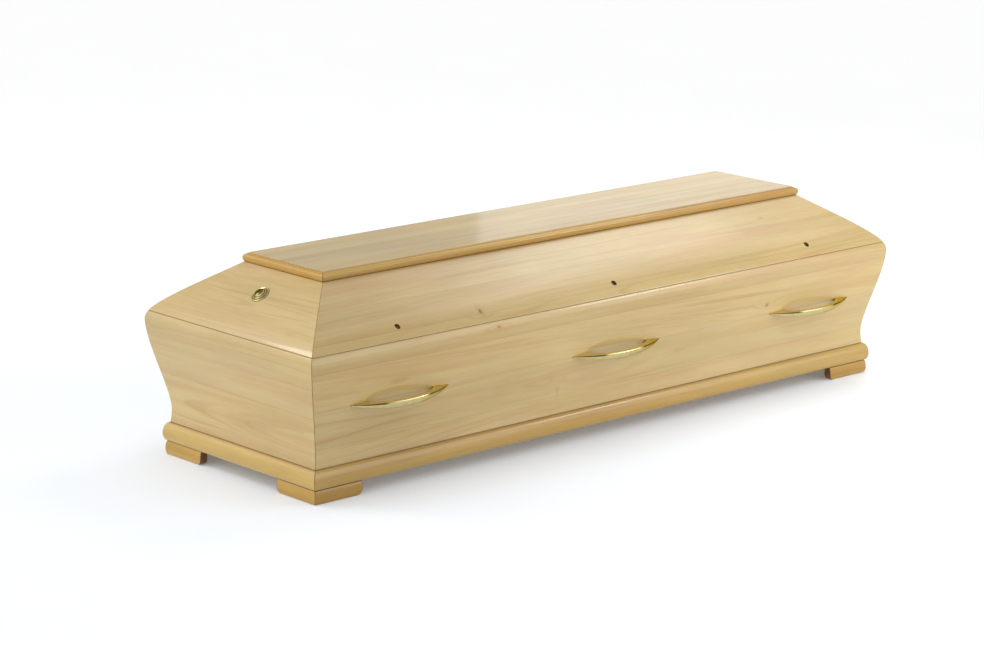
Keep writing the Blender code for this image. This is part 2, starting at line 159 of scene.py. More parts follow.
def moulded_bar(name, outer, inner, turn, cuts, material, piece_number, mitre_shade,
                end_wood=(0, 0), holes=None):
    """A section of an outer and an inner line, carried straight along one side between two cuts.

    A point is (length along, inset minus half the span, height). Close to each cut the outer line
    draws in by a quarter circle's depth, so the arris of the mitre is eased, and two stations past
    it keep its shading narrow. Holes, if any, are round pockets sunk in the outer face, each in a
    square patch of the grid.

    Four marks tell the wood what lies where. Grain is (length along, run of the outer line, depth
    into the wood). End wood is 1 at a cut across the grain. Joint is painted shade: it falls from 1
    at both edges of the outer face, where parts meet, to 0 at the joint shade's width, and is 1 in
    a hole. At a mitred arris it is the mitre shade, a glue line. Piece is the piece's number, so
    that no two pieces have the same figure.
    """
    half_span = (WIDTH if turn % 2 == 0 else LENGTH) / 2
    count = len(outer)
    across = run_along(outer)
    tangent = np.gradient(outer, axis=0)
    normal = np.stack([tangent[:, 1], -tangent[:, 0]], axis=1) / np.hypot(*tangent.T)[:, None]
    steps = MITRE_EASE * (1 - np.cos(np.linspace(0, math.pi / 2, 5)))
    sinks = MITRE_EASE - np.sqrt(MITRE_EASE**2 - (MITRE_EASE - steps) ** 2)
    steps, sinks = np.append(steps, PAST_EASE), np.append(sinks, [0.0, 0.0])
    stations = [(0, step, sink) for step, sink in zip(steps, sinks)]
    if holes is not None:
        stations += [(None, x, 0.0) for x in holes["columns"]]
    stations += [(1, step, sink) for step, sink in zip(steps[::-1], sinks[::-1])]
    # Painted shade along both edges of the outer face, where it meets the next part
    edge = np.minimum(across, across[-1] - across)
    edge_shade = np.concatenate([np.clip(1 - edge / JOINT_SHADE, 0.0, 1.0), np.zeros(count)])
    thick = np.mean(np.abs(inner - outer)[:, 0])
    depth = np.concatenate([np.zeros(count), np.full(count, thick)])
    rows, marks, ends, shade_and_glue_rows = [], [], [], []
    for end, step, sink in stations:
        loop = np.vstack([outer + normal * sink, inner[::-1]])
        if end is None:
            x = np.full(len(loop), step)
        else:
            x = cuts[end](loop[:, 0], loop[:, 1]) + (step if end == 0 else -step)
        rows.append(np.stack([x, loop[:, 0] - half_span, loop[:, 1]], axis=1))
        marks.append(np.stack([x, np.concatenate([across, across[::-1]]), depth], axis=1))
        cut_across = end is not None and end_wood[end] and step < PAST_EASE[0]
        ends.append(np.full(len(loop), float(cut_across)))
        mitred = end is not None and not end_wood[end]
        mitre_line = mitre_shade * max(0.0, 1 - step / MITRE_EASE) if mitred else 0.0
        shade_and_glue_rows.append(np.maximum(edge_shade, mitre_line))
    verts, grain = np.concatenate(rows), np.concatenate(marks)
    end_mark, shade_and_glue_mark = np.concatenate(ends), np.concatenate(shade_and_glue_rows)
    loop_count = 2 * count
    quads = grid_quads(len(stations), loop_count)
    faces, extra = [], []
    keep = np.ones(quads.shape[:2], dtype=bool)
    if holes is not None:
        for x, level in holes["places"]:
            first_column = len(steps) + holes["columns"].index(x - holes["patch"])
            first_row = int(np.argmin(np.abs(across - (level - holes["patch"]))))
            side = holes["side"]
            keep[first_column:first_column + side, first_row:first_row + side] = False
            step = np.arange(side)
            square = np.concatenate([
                (first_column + step) * loop_count + first_row,
                (first_column + side) * loop_count + first_row + step,
                (first_column + side - step) * loop_count + first_row + side,
                first_column * loop_count + first_row + side - step])
            rim = grain[square][:, :2]
            middle = np.array([x, level])
            spoke = (rim - middle) / np.hypot(*(rim - middle).T)[:, None]
            below, base, beyond = points_at(outer, level + np.array([-0.002, 0.0, 0.002]))
            slope = (beyond - below) / np.hypot(*(beyond - below))
            out = np.array([-slope[1], slope[0]])
            seat = base - np.array([half_span, 0.0])
            last = square
            for radius, depth in holes["rings"]:
                if depth is None:
                    flat = middle + (rim - middle) * radius + spoke * holes["radius"] * (1 - radius)
                    face = points_at(outer, flat[:, 1]) - np.array([half_span, 0.0])
                    ring = np.column_stack([flat[:, 0], face])
                    deep = np.zeros(len(ring))
                else:
                    flat = spoke * radius
                    section = seat + flat[:, 1:2] * slope - out * depth
                    ring = np.column_stack([x + flat[:, 0], section])
                    deep = np.full(len(ring), depth)
                start = len(verts) + sum(len(earlier) for earlier in extra)
                extra.append(ring)
                run = flat[:, 1] if depth is None else level + flat[:, 1]
                grain = np.vstack([grain, np.column_stack([ring[:, 0], run, deep])])
                now = start + np.arange(len(ring))
                faces.append(np.stack([last, np.roll(last, -1), np.roll(now, -1), now], axis=-1))
                last = now
            faces.append(last[None, :])
    faces.insert(0, quads[keep])
    verts = np.vstack([verts] + extra)
    end_mark = np.concatenate([end_mark, np.zeros(len(verts) - len(end_mark))])
    # Painted shade down the bore and over the bottom of each hole
    hole_shade = (grain[len(shade_and_glue_mark):, 2] > 0).astype(float)
    shade_and_glue_mark = np.concatenate([shade_and_glue_mark, hole_shade])
    k = np.arange(count - 1)
    cap = np.stack([k, k + 1, loop_count - 2 - k, loop_count - 1 - k], axis=-1)
    faces += [cap, (cap + (len(stations) - 1) * loop_count)[:, ::-1]]
    return add_piece(name, turned(verts, turn), faces,
                     {"grain": grain, "end_wood": end_mark, "joint": shade_and_glue_mark,
                      "piece": np.full(len(verts), float(piece_number))}, material)


def half_run_of(turn):
    """Half the joint line's length along a side."""
    return (LENGTH if turn % 2 == 0 else WIDTH) / 2


def spaced_like(line, count):
    """The line again with its points evenly spaced along it."""
    return points_at(line, np.linspace(0.0, run_along(line)[-1], count))


def ring_of_bars(prefix, outer, inner, material, first_number, mitre_shade, holes=None):
    """Four mitred bars, one on each side. Holes are bored in the two long ones."""
    for turn, side in enumerate(SIDES):
        run = half_run_of(turn)
        moulded_bar(f"{prefix}_{side}", outer, spaced_like(inner, len(outer)), turn,
                    (mitre(run, -1), mitre(run, 1)), material, first_number + turn,
                    mitre_shade, holes=holes if turn % 2 == 0 else None)


class Maker:
    """Adds nodes to a material: an input is a number, a colour or the socket that feeds it."""

    def __init__(self, name):
        self.material = bpy.data.materials.new(name)
        self.material.use_nodes = True
        self.tree = self.material.node_tree
        self.shader = self.tree.nodes["Principled BSDF"]

    def add(self, kind, inputs=None, **settings):
        """A node of a kind, with its inputs and settings."""
        node = self.tree.nodes.new(kind)
        for key, value in settings.items():
            setattr(node, key, value)
        self.feed(node, inputs or {})
        return node

    def feed(self, node, inputs):
        """Give each input its value, or link it to the socket that feeds it."""
        for key, value in inputs.items():
            if isinstance(value, bpy.types.NodeSocket):
                self.tree.links.new(value, node.inputs[key])
            else:
                node.inputs[key].default_value = value

    def math(self, operation, *values):
        """One step of arithmetic."""
        return self.add("ShaderNodeMath", dict(enumerate(values)), operation=operation).outputs[0]

    def scaled(self, vector, scale):
        """A vector times a scale, axis by axis."""
        return self.add("ShaderNodeVectorMath", {0: vector, 1: scale},
                        operation="MULTIPLY").outputs[0]

    def noise(self, vector, scale, detail=2.0, roughness=0.5, distortion=0.0):
        """Fractal noise at a place, about one half in the mean."""
        return self.add("ShaderNodeTexNoise",
                        {"Vector": vector, "Scale": scale, "Detail": detail,
                         "Roughness": roughness, "Distortion": distortion}).outputs[0]

    def ramp(self, value, low, high, to_low=0.0, to_high=1.0, smooth=True):
        """A value carried from one range to another and held at its ends, eased if smooth."""
        return self.add("ShaderNodeMapRange", {"Value": value, "From Min": low, "From Max": high,
                                               "To Min": to_low, "To Max": to_high},
                        interpolation_type="SMOOTHSTEP" if smooth else "LINEAR").outputs[0]

    def mix(self, factor, first, second, blend="MIX"):
        """The first colour changed by the factor to its blend with the second."""
        node = self.add("ShaderNodeMix", data_type="RGBA", blend_type=blend)
        self.feed(node, {0: factor, 6: first, 7: second})
        return node.outputs[2]


# Knots and flecks of the near sides: piece number, place along and up the face, half length, half
# height, strength
KNOTS = ((9, -0.456, 0.0357, 0.0050, 0.0085, 1.0), (1, -0.421, 0.2754, 0.006, 0.0030, 0.8),
         (9, 0.636, 0.1564, 0.006, 0.0035, 0.35), (1, 0.549, 0.178, 0.004, 0.0045, 0.8),
         (1, -0.186, 0.0630, 0.003, 0.0110, 0.25), (12, 0.200, 0.0450, 0.020, 0.0090, 0.10),
         (1, -0.730, 0.1900, 0.034, 0.0110, 0.20), (1, 0.240, 0.1000, 0.030, 0.0060, 0.12))


def lacquered_wood(name, pale, warm, deep, rose, board_width, figure):
    """Satin-lacquered wood of edge-glued boards.

    Along the grain is the first number of the grain mark, across it the second, and into the
    wood the third. A board is a cell of a one-dimensional Voronoi pattern across the grain. Its
    year rings are circles round a slightly tilted heart line, cut by the face, so they draw
    straight lines or long arches. Stretched noise gives streaks, fibre and pores.

    The colour goes from pale to warm by board and streak, to deep on the rings and to rose in
    patches, and is shaded by fibre and board. Towards one end of each piece it is darkened as
    painted shade. Knots bend the rings and are dark with a warm halo. End wood is dark brown,
    darker still as painted shade. By the joint mark the wood takes painted shade along the edges
    where parts meet and in holes, and glue lines at mitres. Figure is the rings' strength.
    """
    w = Maker(name)
    grain = w.add("ShaderNodeAttribute", attribute_name="grain").outputs["Vector"]
    number = w.add("ShaderNodeAttribute", attribute_name="piece").outputs["Fac"]
    end = w.add("ShaderNodeAttribute", attribute_name="end_wood").outputs["Fac"]
    joint = w.add("ShaderNodeAttribute", attribute_name="joint").outputs["Fac"]
    parts = w.add("ShaderNodeSeparateXYZ", {0: grain}).outputs
    along, across, into = parts[0], parts[1], parts[2]
    shift = w.add("ShaderNodeCombineXYZ", {0: w.math("MULTIPLY", number, 7.31),
                                           1: w.math("MULTIPLY", number, 3.17),
                                           2: number}).outputs[0]
    place = w.add("ShaderNodeVectorMath", {0: grain, 1: shift}, operation="ADD").outputs[0]
    cell = w.math("MULTIPLY_ADD", across, 1.0 / board_width, w.math("MULTIPLY", number, 13.37))
    board = w.add("ShaderNodeTexVoronoi", {"W": cell, "Scale": 1.0, "Randomness": 0.55},
                  voronoi_dimensions="1D")
    chance = w.add("ShaderNodeSeparateColor", {0: board.outputs["Color"]}).outputs
    glue = w.add("ShaderNodeTexVoronoi", {"W": cell, "Scale": 1.0, "Randomness": 0.55},
                 voronoi_dimensions="1D", feature="DISTANCE_TO_EDGE")
    seam = w.ramp(glue.outputs["Distance"], 0.0, 0.0012 / board_width, 1.0, 0.0)
    # Knots bend the rings round them
    knot, halo, bend = 0.0, 0.0, 0.0
    here = w.add("ShaderNodeCombineXYZ", {0: along, 1: across, 2: number}).outputs[0]
    for piece, x, y, long, high, strength in KNOTS:
        off = w.add("ShaderNodeVectorMath", {0: here, 1: (x, y, piece)},
                    operation="SUBTRACT").outputs[0]
        core = w.add("ShaderNodeVectorMath", {0: w.scaled(off, (1 / long, 1 / high, 100.0))},
                     operation="LENGTH").outputs["Value"]
        wide = w.add("ShaderNodeVectorMath", {0: w.scaled(off, (0.12 / long, 0.3 / high, 100.0))},
                     operation="LENGTH").outputs["Value"]
        knot = w.math("MAXIMUM", knot, w.ramp(core, 0.4, 1.2, strength, 0.0))
        halo = w.math("MAXIMUM", halo, w.ramp(core, 0.8, 3.6, strength, 0.0))
        bend = w.math("MAXIMUM", bend, w.ramp(wide, 0.0, 2.0, 1.0, 0.0))
    # Year rings: bands of uneven width that keep one distance from the heart line
    wander = w.noise(w.scaled(place, (0.8, 6.0, 6.0)), 1.0, 2.0, 0.45)
    off_heart = w.math("MULTIPLY_ADD", w.math("SUBTRACT", cell, board.outputs["W"]), board_width,
                       w.math("MULTIPLY", w.math("SUBTRACT", chance[0], 0.5), board_width * 1.3))
    tilt = w.math("MULTIPLY", along, w.math("MULTIPLY", w.math("SUBTRACT", chance[2], 0.5), 0.10))
    sunk = w.math("ADD", w.math("MULTIPLY_ADD", chance[1], 0.05, 0.012), tilt)
    radius = w.math("SQRT", w.math("ADD", w.math("POWER", off_heart, 2.0),
                                   w.math("POWER", sunk, 2.0)))
    ring_at = w.math("ADD", w.math("MULTIPLY_ADD", wander, 0.060, radius),
                     w.math("MULTIPLY", bend, 0.010))
    ring_place = w.add("ShaderNodeCombineXYZ", {0: w.math("MULTIPLY", ring_at, 52.0), 1: number,
                                                2: w.math("MULTIPLY", along, 0.6)}).outputs[0]
    rings = w.noise(ring_place, 1.0, 4.0, 0.62)
    lines_place = w.add("ShaderNodeCombineXYZ", {0: w.math("MULTIPLY", ring_at, 150.0), 1: number,
                                                 2: w.math("MULTIPLY", along, 1.4)}).outputs[0]
    lines = w.ramp(w.noise(lines_place, 1.0, 1.0), 0.56, 0.68)
    patch = w.ramp(w.noise(w.scaled(place, (1.3, 9.0, 4.0)), 1.0, 2.0), 0.42, 0.66)
    # Streaks, fibre and pores
    streak = w.noise(w.scaled(place, (1.3, 22.0, 20.0)), 1.0, 3.0, 0.55, 0.3)
    fibre = w.noise(w.scaled(place, (16.0, 420.0, 400.0)), 1.0, 4.0, 0.65)
    pores = w.ramp(w.noise(w.scaled(place, (60.0, 1500.0, 1200.0)), 1.0, 1.0), 0.66, 0.74)
    cloud = w.noise(w.scaled(place, (2.2, 6.0, 6.0)), 1.0, 3.0, 0.55, 0.5)
    rosy = w.ramp(w.noise(w.scaled(place, (1.9, 12.0, 9.0)), 1.0, 3.0, 0.6, 0.4), 0.50, 0.72)
    # Colour
    tint = w.ramp(chance[1], 0.0, 1.0, smooth=False)
    streaked = w.math("MULTIPLY", w.ramp(streak, 0.40, 0.66), 0.50)
    colour = w.mix(w.math("MULTIPLY_ADD", tint, 0.50, streaked), (*pale, 1.0), (*warm, 1.0))
    banded = w.math("MULTIPLY", w.ramp(rings, 0.44, 0.72), 0.42 * figure)
    colour = w.mix(banded, colour, (*deep, 1.0))
    lined = w.math("MULTIPLY", w.math("MULTIPLY", lines, patch), 0.40 * figure)
    colour = w.mix(lined, colour, (*deep, 1.0))
    colour = w.mix(w.math("MULTIPLY", rosy, 0.55), colour, (*rose, 1.0))
    shade = w.math("ADD", w.ramp(fibre, 0.25, 0.75, 0.955, 1.055),
                   w.ramp(cloud, 0.25, 0.75, -0.05, 0.07))
    shade = w.math("MULTIPLY", shade, w.ramp(chance[0], 0.0, 1.0, 0.94, 1.08, smooth=False))
    # Painted shade: darker towards one end of each piece, the foot end on the long sides, where the
    # light falls off
    shade = w.math("MULTIPLY", shade, w.ramp(along, -1.3, 0.2, 0.91, 1.05))
    shade = w.math("SUBTRACT", shade,
                   w.math("MULTIPLY_ADD", seam, 0.16, w.math("MULTIPLY", pores, 0.07)))
    grey = w.add("ShaderNodeCombineColor", {0: shade, 1: shade, 2: shade}).outputs[0]
    colour = w.mix(1.0, colour, grey, "MULTIPLY")
    colour = w.mix(w.math("MULTIPLY", halo, 0.55), colour, (0.400, 0.245, 0.068, 1.0))
    colour = w.mix(w.math("MULTIPLY", knot, 0.85), colour, (0.175, 0.080, 0.022, 1.0))
    # End grain is dark brown; these colours are darker still, painted shade on the feet's cut ends
    specks = w.ramp(w.noise(w.scaled(place, (500.0, 500.0, 500.0)), 1.0, 2.0), 0.35, 0.65)
    end_grain_and_shade_colour = w.mix(specks, (0.075, 0.022, 0.004, 1.0), (0.150, 0.050, 0.009, 1.0))
    colour = w.mix(w.math("MULTIPLY", end, 0.9), colour, end_grain_and_shade_colour)
    # Painted shade along the edges where parts meet and in the holes; glue lines at the mitres
    colour = w.mix(w.math("MULTIPLY", joint, 0.85), colour, (0.150, 0.062, 0.014, 1.0))
    # Lacquer: smooth outside, bare planed wood inside
    inside = w.ramp(into, 0.010, 0.014)
    rough = w.math("MULTIPLY_ADD", inside, 0.25, w.ramp(streak, 0.3, 0.7, 0.34, 0.44))
    swell = w.noise(w.scaled(place, (9.0, 22.0, 22.0)), 1.0, 1.0)
    relief = w.math("MULTIPLY_ADD", swell, 0.00022, w.math("MULTIPLY", fibre, 0.000012))
    relief = w.math("MULTIPLY_ADD", pores, -0.000010, relief)
    bump = w.add("ShaderNodeBump", {"Height": relief, "Distance": 1.0, "Strength": 0.6})
    coat_bump = w.add("ShaderNodeBump", {"Height": w.math("MULTIPLY", swell, 0.00022),
                                         "Distance": 1.0, "Strength": 0.6})
    w.feed(w.shader, {"Base Color": colour, "Roughness": rough, "Normal": bump.outputs[0],
                      "Coat Normal": coat_bump.outputs[0], "Coat Weight": 0.7,
                      "Coat Roughness": 0.11, "IOR": 1.45, "Specular IOR Level": 0.25})
    return w.material


pale_wood = lacquered_wood("pale lacquered wood", pale=(0.505, 0.385, 0.174),
                           warm=(0.450, 0.308, 0.110), deep=(0.355, 0.192, 0.053),
                           rose=(0.480, 0.296, 0.140), board_width=0.098, figure=1.0)

waist = (WAIST_INSET, WALL_FOOT + WAIST_RISE)
breast = (-BREAST_PROUD, JOINT - BREAST_DROP)
crown = (0.0, JOINT - GAP)
wall_face = joined(
    curve([(FOOT_INSET, WALL_FOOT), (waist[0], (WALL_FOOT + waist[1]) / 2), waist], 14),
    curve([waist, (waist[0], waist[1] + WAIST_PULL), (breast[0], breast[1] - BREAST_PULL),
           breast], 44),
    curve([breast, (breast[0], crown[1] - BREAST_PROUD / JOINT_LEAN), crown], 26))
ring_of_bars("box_wall", eased(wall_face, EASE), thickened(wall_face, WALL_THICK), pale_wood,
             first_number=1, mitre_shade=0.5)

# Bottom board: pale boards glued to one panel, cut to lie inside the walls on the ledge of the
# base moulding. Its edges are only lightly eased, as nobody sees them.
BOTTOM_THICK, BOTTOM_EASE = 0.018, 0.001


def panel(name, inset, low, high, ease, material, piece_number):
    """A flat board: rectangles one above the other, each a step further out or in than the last."""
    levels = ((4 * ease, low), (ease, low), (0.0, low + ease), (0.0, high - ease),
              (0.3 * ease, high - 0.3 * ease), (ease, high), (4 * ease, high))
    rings = []
    for draw_in, height in levels:
        x, y = LENGTH / 2 - inset - draw_in, WIDTH / 2 - inset - draw_in
        rings.append([(-x, -y, height), (x, -y, height), (x, y, height), (-x, y, height)])
    verts = np.array(rings, dtype=float).reshape(-1, 3)
    faces = [grid_quads(len(levels), 4)[..., [0, 3, 2, 1]].reshape(-1, 4),
             np.array([[3, 2, 1, 0]]), 4 * (len(levels) - 1) + np.arange(4)[None, :]]
    grain = np.column_stack([verts[:, 0], verts[:, 1], high - verts[:, 2]])
    return add_piece(name, verts, faces, {"grain": grain, "end_wood": np.zeros(len(verts)),
                                          "piece": np.full(len(verts), float(piece_number))},
                     material)


board_inset = thickened(wall_face, WALL_THICK)[:, 0].max() + GAP
panel("bottom_board", board_inset, WALL_FOOT, WALL_FOOT + BOTTOM_THICK, BOTTOM_EASE, pale_wood, 17)

# Base moulding: a half-round frame of honey-coloured wood glued under the walls, mitred at the
# corners. It runs inwards as a ledge that carries the walls and the bottom board.
BASE_FOOT, BASE_FOOT_INSET = 0.0355, 0.0303
BASE_NOSE_INSET, BASE_NOSE_RISE = 0.0210, 0.0194
BASE_LEDGE = 0.020


def nose(low, bulge, high, count):
    """A rounded edge: two quarter ellipses, from low out to the bulge and back up to high."""
    a = np.linspace(0.0, math.pi / 2, count)[:, None]
    low, bulge, high = (np.array([point]) for point in (low, bulge, high))
    lower = np.hstack([bulge[:, :1] + (low - bulge)[:, :1] * (1 - np.sin(a)),
                       low[:, 1:] + (bulge - low)[:, 1:] * (1 - np.cos(a))])
    upper = np.hstack([bulge[:, :1] + (high - bulge)[:, :1] * (1 - np.cos(a)),
                       bulge[:, 1:] + (high - bulge)[:, 1:] * np.sin(a)])
    return joined(lower, upper)


def upright_back(line, inset):
    """The plain back of a moulding: the line's heights at one inset."""
    return np.stack([np.full(len(line), inset), line[:, 1]], axis=1)


honey_wood = lacquered_wood("honey lacquered wood", pale=(0.465, 0.318, 0.085),
                            warm=(0.420, 0.255, 0.055), deep=(0.325, 0.155, 0.026),
                            rose=(0.440, 0.265, 0.065), board_width=0.16, figure=1.1)
base_face = nose((BASE_FOOT_INSET, BASE_FOOT), (BASE_NOSE_INSET, BASE_FOOT + BASE_NOSE_RISE),
                 (FOOT_INSET, WALL_FOOT - GAP), 18)
ring_of_bars("base_moulding", base_face, upright_back(base_face, board_inset + BASE_LEDGE),
             honey_wood, first_number=5, mitre_shade=0.6)

# Feet: two short lengths of golden moulding at each corner, mitred together and glued under the
# base. Their free ends are cut square across the grain and rounded at the floor.
LEG_LENGTH, LEG_THICK = 0.147, 0.021
LEG_FOOT_INSET, LEG_NOSE_INSET, LEG_NOSE_RISE = 0.0307, 0.0255, 0.0147
LEG_END_ROUND = 0.017


def rounded_end(half_run, end):
    """The square end of a leg: near the floor it draws back by a quarter circle's depth."""
    def cut(inset, height):
        drop = np.clip(LEG_END_ROUND - height, 0.0, LEG_END_ROUND)
        rounding = LEG_END_ROUND - np.sqrt(LEG_END_ROUND**2 - drop**2)
        return end * (half_run - LEG_NOSE_INSET - LEG_LENGTH + rounding)
    return cut


golden_wood = lacquered_wood("golden lacquered wood", pale=(0.440, 0.272, 0.042),
                             warm=(0.390, 0.212, 0.024), deep=(0.295, 0.125, 0.011),
                             rose=(0.405, 0.220, 0.030), board_width=0.16, figure=1.2)
leg_face = nose((LEG_FOOT_INSET, 0.0), (LEG_NOSE_INSET, LEG_NOSE_RISE),
                (BASE_FOOT_INSET, BASE_FOOT - GAP), 12)
leg_back = upright_back(leg_face, LEG_NOSE_INSET + LEG_THICK)
for turn, side in enumerate(SIDES):
    run = half_run_of(turn)
    before, after = SIDES[turn - 1], SIDES[(turn + 1) % 4]
    moulded_bar(f"leg_{side}_by_{before}", leg_face, leg_back, turn,
                (mitre(run, -1), rounded_end(run, -1)), golden_wood, 20 + turn,
                mitre_shade=0.5, end_wood=(0, 1))
    moulded_bar(f"leg_{side}_by_{after}", leg_face, leg_back, turn,
                (rounded_end(run, 1), mitre(run, 1)), golden_wood, 24 + turn,
                mitre_shade=0.5, end_wood=(1, 0))

# Lid sides: four sloping boards with a round shoulder, mitred together. On the long sides three
# holes are bored for the lid screws, and the lid lifts off when they are drawn.
LID_HEAD, LID_INSET = 0.4968, 0.1712
LID_THICK = 0.018
LID_LEAN, SHOULDER = 1.50, 0.080
SCREW_HEIGHT, SCREW_FROM_END = JOINT + 0.0278, 0.2825
HOLE_RADIUS, HOLE_DEPTH, HOLE_ARRIS = 0.0078, 0.009, 0.0001
PATCH, PATCH_SIDE = 0.014, 10

head = np.array([LID_INSET, LID_HEAD - GAP])
slope_start = np.array([head[0] - LID_LEAN * (head[1] - JOINT - SHOULDER), JOINT + SHOULDER])
reach = (LID_LEAN * SHOULDER - slope_start[0]) / (LID_LEAN - JOINT_LEAN)
close_up = np.array([0.0, 0.33, 0.66, 0.93, 0.977, 1.0])[:, None]    # crowded towards the head
lid_line = joined(curve([(0.0, JOINT), (JOINT_LEAN * reach, JOINT + reach), slope_start], 60),
                  (1 - close_up) * slope_start + close_up * head)
lid_face = eased(lid_line[::-1], EASE)[::-1]
screw_run = float(np.interp(SCREW_HEIGHT, lid_face[:, 1], run_along(lid_face)))
patch_steps = np.linspace(-PATCH, PATCH, PATCH_SIDE + 1)
lid_levels = run_along(lid_face)
clear_levels = lid_levels[np.abs(lid_levels - screw_run) > PATCH * 1.04]
lid_face = points_at(lid_face, np.sort(np.concatenate([clear_levels, screw_run + patch_steps])))
screw_places = [(place * (LENGTH / 2 - SCREW_FROM_END), screw_run) for place in (-1, 0, 1)]
# Rings of a hole: on the face by the share of the way to the patch's edge, then down the bore by
# radius and depth, and in over its bottom
hole_rings = ([(share, None) for share in (0.8, 0.6, 0.4, 0.22, 0.1, 0.05)]
              + [(HOLE_RADIUS + HOLE_ARRIS, HOLE_ARRIS), (HOLE_RADIUS, 0.0005),
                 (HOLE_RADIUS, 0.003), (HOLE_RADIUS, HOLE_DEPTH - 0.0004),
                 (HOLE_RADIUS - 0.0004, HOLE_DEPTH), (HOLE_RADIUS * 0.6, HOLE_DEPTH),
                 (HOLE_RADIUS * 0.2, HOLE_DEPTH)])
lid_holes = {"places": screw_places, "patch": PATCH, "side": PATCH_SIDE, "radius": HOLE_RADIUS,
             "rings": hole_rings,
             "columns": [x + float(step) for x, _ in screw_places for step in patch_steps]}
ring_of_bars("lid_side", lid_face, thickened(lid_line, LID_THICK), pale_wood,
             first_number=9, mitre_shade=0.0, holes=lid_holes)

# Rim: a golden round moulding glued round the edge of the top board. It leaves a small step below
# the board's face, and overhangs the lid sides a little. A fillet parts its round from its top.
TOP = 0.5200
RIM_WIDTH, RIM_STEP = 0.0087, 0.0025
RIM_NOSE = (0.1670, LID_HEAD + 0.0110)
RIM_TOP_INSET = 0.1772
FILLET = np.array([(0.1748, TOP - 0.0046), (0.1752, TOP - 0.0046), (0.1752, TOP - 0.0032)])
rim_face = joined(nose((LID_INSET, LID_HEAD), RIM_NOSE, FILLET[0], 14), curve(FILLET, 4),
                  curve([FILLET[2], (FILLET[2][0], TOP - RIM_STEP),
                         (RIM_TOP_INSET, TOP - RIM_STEP)], 6))
ring_of_bars("lid_rim", rim_face, upright_back(rim_face, LID_INSET + RIM_WIDTH), golden_wood,
             first_number=13, mitre_shade=0.7)

# Top board: the flat of the lid, of pale boards glued edge to edge. It lies on the heads of the
# lid sides, inside the rim.
TOP_EASE = 0.0008
panel("lid_top_board", LID_INSET + RIM_WIDTH + GAP, LID_HEAD, TOP, TOP_EASE, pale_wood, 18)

# Bow handles: cast brass crescents, polished, with a pointed land at each end that lies flat on
# the wall. They are bolted from inside the box, so no fixing shows.
HANDLE_HEIGHT, HANDLE_FROM_END = WALL_FOOT + 0.1459, 0.280
HANDLE_CHORD, HANDLE_REACH, HANDLE_LAND = 0.306, 0.040, 0.050
HANDLE_BAR, HANDLE_TALL, HANDLE_TIP = 0.008, 0.0172, 0.0010
HANDLE_ARRIS, HANDLE_TAPER, GAP_FULLNESS = 0.0030, 2.2, 1.6
FRONT_SQUARENESS = 0.45
# Level of the dimmed brass tone, a painted darker reflection on the handle fronts
DIMMED_LEVEL = 0.35


def polished_brass(name):
    """Polished yellow brass. The mark for the brass goes from bright at 0 through a dimmed tone to
    dark at 1. The dark is patina in hollows the polishing wheel doesn't reach, and elsewhere
    painted shade and painted dark reflections; on the handle fronts the dimmed tone is a painted
    darker reflection. Handling marks vary the gloss.
    """
    w = Maker(name)
    place = w.add("ShaderNodeTexCoord").outputs["Object"]
    patina_and_painted_dark = w.add("ShaderNodeAttribute", attribute_name="patina_and_painted_dark").outputs["Fac"]
    smudge = w.noise(place, 70.0, 3.0, 0.6)
    brush = w.noise(w.scaled(place, (60.0, 900.0, 900.0)), 1.0, 3.0, 0.6)
    bright = w.mix(w.ramp(smudge, 0.3, 0.7), (0.86, 0.75, 0.41, 1.0), (0.80, 0.68, 0.33, 1.0))
    dimmed = w.mix(w.ramp(smudge, 0.3, 0.7), (0.56, 0.48, 0.25, 1.0), (0.50, 0.42, 0.19, 1.0))
    tone = w.mix(w.ramp(patina_and_painted_dark, 0.0, DIMMED_LEVEL, smooth=False), bright, dimmed)
    # Dark: patina in hollows, and elsewhere painted shade and painted dark reflections
    dark = (0.062, 0.044, 0.006, 1.0)
    tone = w.mix(w.ramp(patina_and_painted_dark, DIMMED_LEVEL, 1.0, smooth=False), tone, dark)
    rough = w.math("ADD", w.ramp(smudge, 0.25, 0.75, 0.10, 0.17),
                   w.ramp(brush, 0.3, 0.7, 0.0, 0.04))
    bump = w.add("ShaderNodeBump", {"Height": w.math("MULTIPLY_ADD", smudge, 0.00006,
                                                     w.math("MULTIPLY", brush, 0.0000012)),
                                    "Distance": 1.0, "Strength": 0.5})
    w.feed(w.shader, {"Base Color": tone, "Metallic": 1.0, "Roughness": rough,
                      "Normal": bump.outputs[0], "Specular Tint": (0.80, 0.62, 0.22, 1.0)})
    return w.material


def seat_on(line, height, reach, half_span, turn, along):
    """Frame of a flat seat on a moulded side: -Y points out of the side and Z up along it.

    It lies on the chord of the line from reach below to reach above the height, moved out until
    the whole stretch is behind it, and then by the fitting gap.
    """
    low, high = (np.array([np.interp(level, line[:, 1], line[:, 0]), level])
                 for level in (height - reach, height + reach))
    up = (high - low) / np.hypot(*(high - low))
    out = np.array([-up[1], up[0]])
    between = line[(line[:, 1] > low[1]) & (line[:, 1] < high[1])]
    proud = max(0.0, ((between - low) @ out).max(initial=0.0)) + GAP
    middle = (low + high) / 2 + out * proud
    place = Matrix.Translation((along, middle[0] - half_span, middle[1]))
    lean = Matrix.Rotation(-math.atan2(up[0], up[1]), 4, "X")
    return Matrix.Rotation(turn * math.pi / 2, 4, "Z") @ place @ lean


def seated(points, seat):
    """Points in a seat's frame, put in place."""
    rows = np.array(seat)
    return points @ rows[:3, :3].T + rows[:3, 3]


def loft(points):
    """Faces of a grid of closed sections, with one face over each end."""
    sections, around = points.shape[:2]
    quads = grid_quads(sections, around)[..., [0, 3, 2, 1]]
    ends = np.arange(around)
    return [quads.reshape(-1, 4), ends[None, ::-1], (sections - 1) * around + ends[None, :]]


